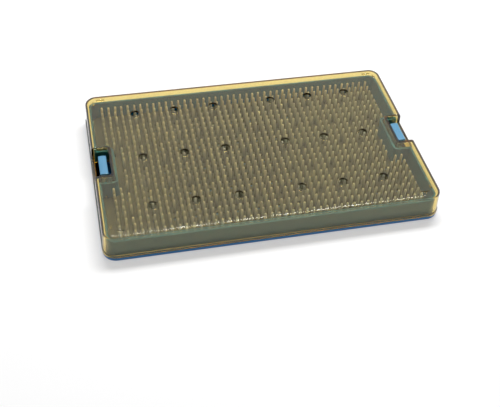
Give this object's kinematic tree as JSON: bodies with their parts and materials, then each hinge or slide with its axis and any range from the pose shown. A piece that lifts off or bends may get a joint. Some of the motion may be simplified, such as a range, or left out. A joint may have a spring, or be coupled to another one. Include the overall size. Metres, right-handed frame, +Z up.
{
  "type": "instrument tray",
  "caption": "Shallow lidded tray for sterilizing small instruments: opaque base, finger mat, perforated see-through lid and a swing latch at each end.",
  "frame": {"origin": "centre of the footprint, on the surface that the base stands on", "axes": "+X along the tray's long side, from the left latch to the right latch; +Y along the short side, to the back; +Z up, the way the lid lifts"},
  "size_m": [0.271, 0.1724, 0.0262],
  "materials": {
    "base_plastic": "satin moulded plastic, azure blue",
    "latch_plastic": "satin moulded plastic, azure blue",
    "lid_plastic": "clear amber moulded plastic, polished",
    "mat_silicone": "translucent silicone, satin",
    "pin_steel": "drawn stainless wire"
  },
  "bodies": {
    "base": {"base_tray": "base_plastic", "finger_mat": "mat_silicone", "left_latch_pin": "pin_steel", "right_latch_pin": "pin_steel"},
    "lid": {"lid": "lid_plastic"},
    "left_latch": {"left_latch": "latch_plastic"},
    "right_latch": {"right_latch": "latch_plastic"}
  },
  "joints": [
    {"name": "lid_lift", "type": "slide", "parent": "base", "child": "lid", "axis": [0, 0, 1], "range_m": [0, 0.06]},
    {"name": "left_latch_swing", "type": "hinge", "parent": "base", "child": "left_latch", "pos_m": [-0.1266, 0, 0.0048], "axis": [0, -1, 0], "range_deg": [0, 30]},
    {"name": "right_latch_swing", "type": "hinge", "parent": "base", "child": "right_latch", "pos_m": [0.1266, 0, 0.0048], "axis": [0, 1, 0], "range_deg": [0, 30]}
  ]
}
